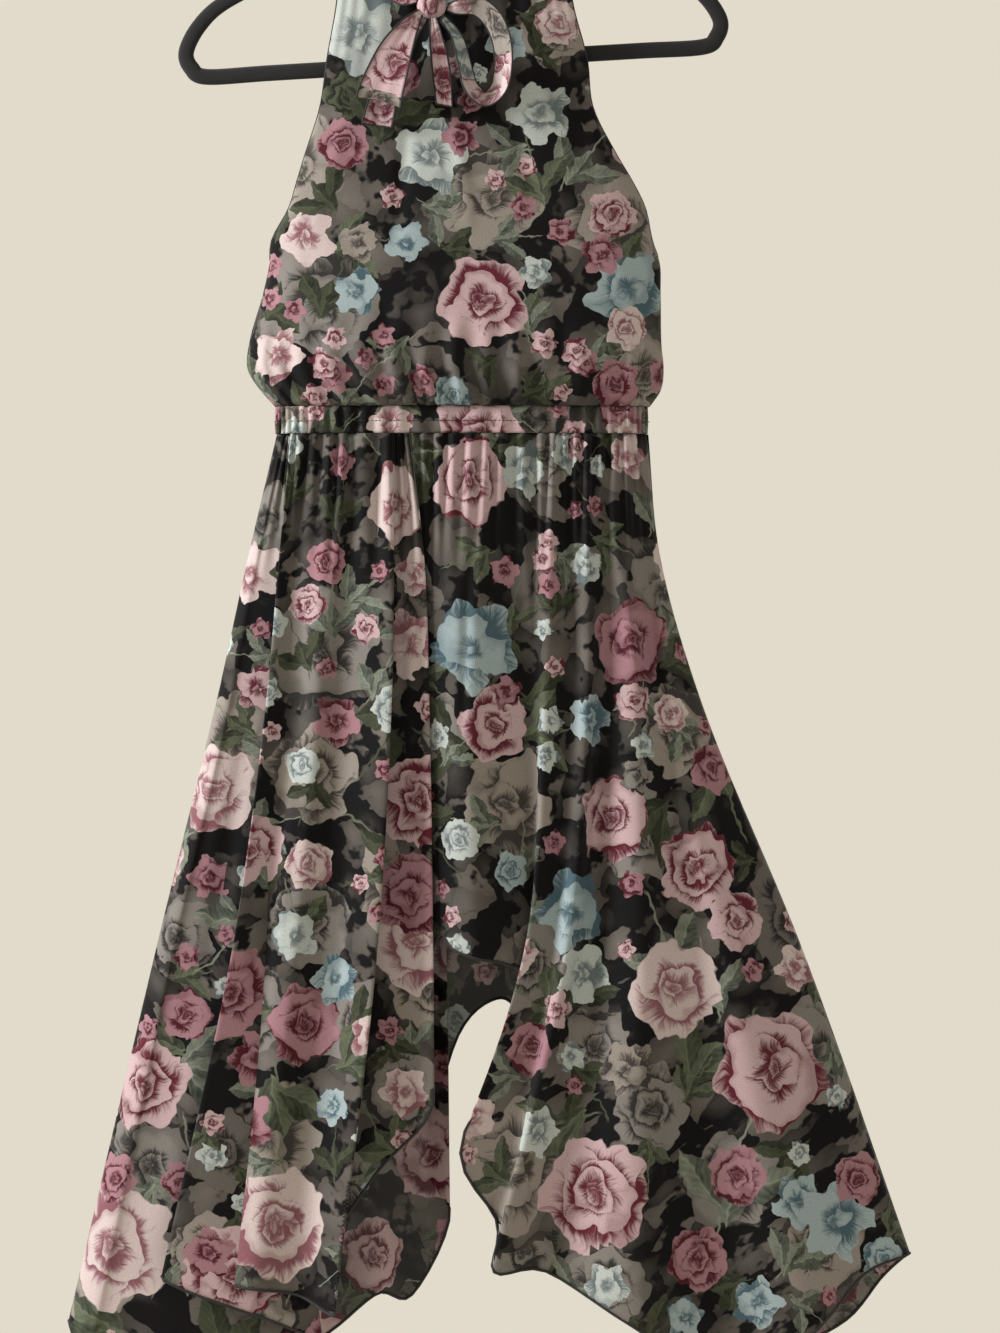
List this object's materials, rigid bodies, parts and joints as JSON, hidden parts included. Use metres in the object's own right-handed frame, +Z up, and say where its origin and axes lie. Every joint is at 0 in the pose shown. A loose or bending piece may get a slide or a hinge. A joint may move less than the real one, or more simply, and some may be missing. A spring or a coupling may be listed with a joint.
{
  "type": "halter dress on a hanger",
  "caption": "Sleeveless halter-neck dress in printed chiffon with a bow, a bloused bodice, an elastic waist and a handkerchief hem, on a slim hanger.",
  "frame": {"origin": "inside top of the hanger's hook, where it hangs", "axes": "+Z up, +X to the right seen from the front, the dress's front faces -Y"},
  "size_m": [0.6777, 0.1124, 1.2657],
  "materials": {
    "printed_chiffon": "thin matt crepe chiffon, floral print on black",
    "printed_chiffon_band": "folded and gathered chiffon, floral print on black",
    "printed_chiffon_ties": "chiffon strip with a black rolled edge",
    "black_flocking": "black flocked plastic, velvety",
    "hook_wire": "chromed steel wire"
  },
  "bodies": {
    "root": {"hanger_body": "black_flocking", "hanger_hook": "hook_wire", "neck_band": "printed_chiffon_band", "bodice_front": "printed_chiffon", "bodice_back": "printed_chiffon", "waist_casing": "printed_chiffon_band", "skirt_front": "printed_chiffon", "skirt_back": "printed_chiffon", "tie_knot": "printed_chiffon_ties", "tie_strand_left": "printed_chiffon_ties", "tie_strand_right": "printed_chiffon_ties", "tie_loop_left": "printed_chiffon_ties", "tie_loop_right": "printed_chiffon_ties", "tie_tail_left": "printed_chiffon_ties", "tie_tail_middle": "printed_chiffon_ties"}
  },
  "joints": []
}
